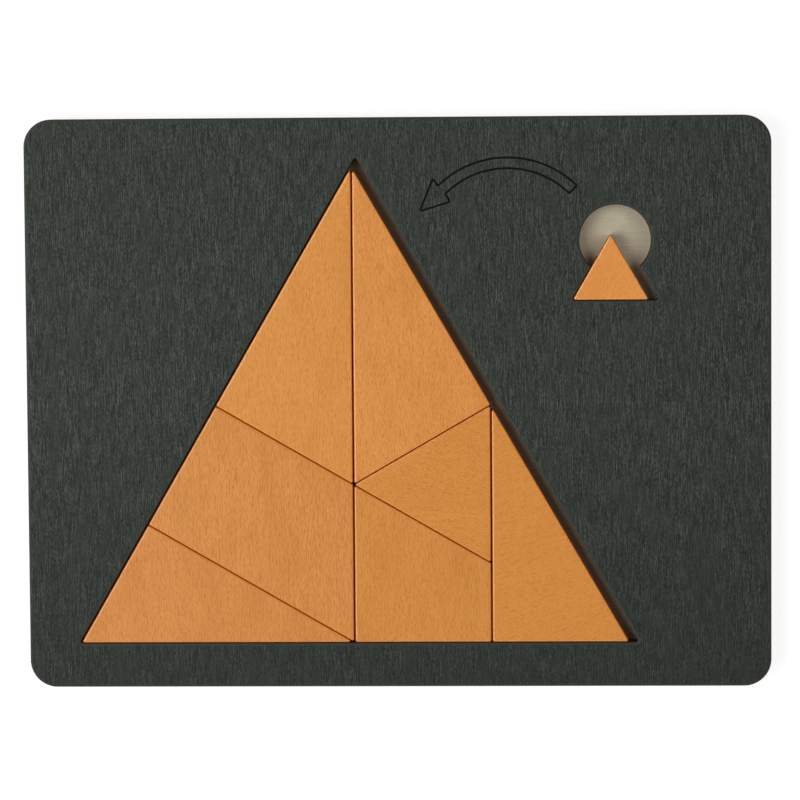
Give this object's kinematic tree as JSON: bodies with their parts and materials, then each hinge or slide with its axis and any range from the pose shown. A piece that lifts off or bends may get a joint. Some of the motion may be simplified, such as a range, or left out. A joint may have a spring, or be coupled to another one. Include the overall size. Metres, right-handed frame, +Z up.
{
  "type": "wooden tray puzzle",
  "caption": "Flat wooden tray with a triangular window full of loose triangular and four-sided tiles, and a small keyhole window holding one more tile.",
  "frame": {"origin": "middle of the tray's underside, on the surface that it lies on", "axes": "+X to the right along the tray's long side, +Y towards the large window's apex, +Z up, out of the windows"},
  "size_m": [0.15, 0.115, 0.008],
  "materials": {
    "stained_wood": "dark grey-green stain, matt, fine upright grain",
    "plain_wood": "unstained light plywood, sanded",
    "orange_wood": "orange stain, satin, fine pores"
  },
  "bodies": {
    "tray": {"tray_base": "plain_wood", "tray_frame": "stained_wood"},
    "top_left_tile": {"top_left_tile": "orange_wood"},
    "top_right_tile": {"top_right_tile": "orange_wood"},
    "middle_left_tile": {"middle_left_tile": "orange_wood"},
    "bottom_left_tile": {"bottom_left_tile": "orange_wood"},
    "inner_tile": {"inner_tile": "orange_wood"},
    "bottom_middle_tile": {"bottom_middle_tile": "orange_wood"},
    "right_tile": {"right_tile": "orange_wood"},
    "spare_tile": {"spare_tile": "orange_wood"}
  },
  "joints": [
    {"name": "top_left_lift", "type": "slide", "parent": "tray", "child": "top_left_tile", "axis": [0, 0, 1], "range_m": [0, 0.03]},
    {"name": "top_right_lift", "type": "slide", "parent": "tray", "child": "top_right_tile", "axis": [0, 0, 1], "range_m": [0, 0.03]},
    {"name": "middle_left_lift", "type": "slide", "parent": "tray", "child": "middle_left_tile", "axis": [0, 0, 1], "range_m": [0, 0.03]},
    {"name": "bottom_left_lift", "type": "slide", "parent": "tray", "child": "bottom_left_tile", "axis": [0, 0, 1], "range_m": [0, 0.03]},
    {"name": "inner_lift", "type": "slide", "parent": "tray", "child": "inner_tile", "axis": [0, 0, 1], "range_m": [0, 0.03]},
    {"name": "bottom_middle_lift", "type": "slide", "parent": "tray", "child": "bottom_middle_tile", "axis": [0, 0, 1], "range_m": [0, 0.03]},
    {"name": "right_lift", "type": "slide", "parent": "tray", "child": "right_tile", "axis": [0, 0, 1], "range_m": [0, 0.03]},
    {"name": "spare_lift", "type": "slide", "parent": "tray", "child": "spare_tile", "axis": [0, 0, 1], "range_m": [0, 0.03]}
  ]
}
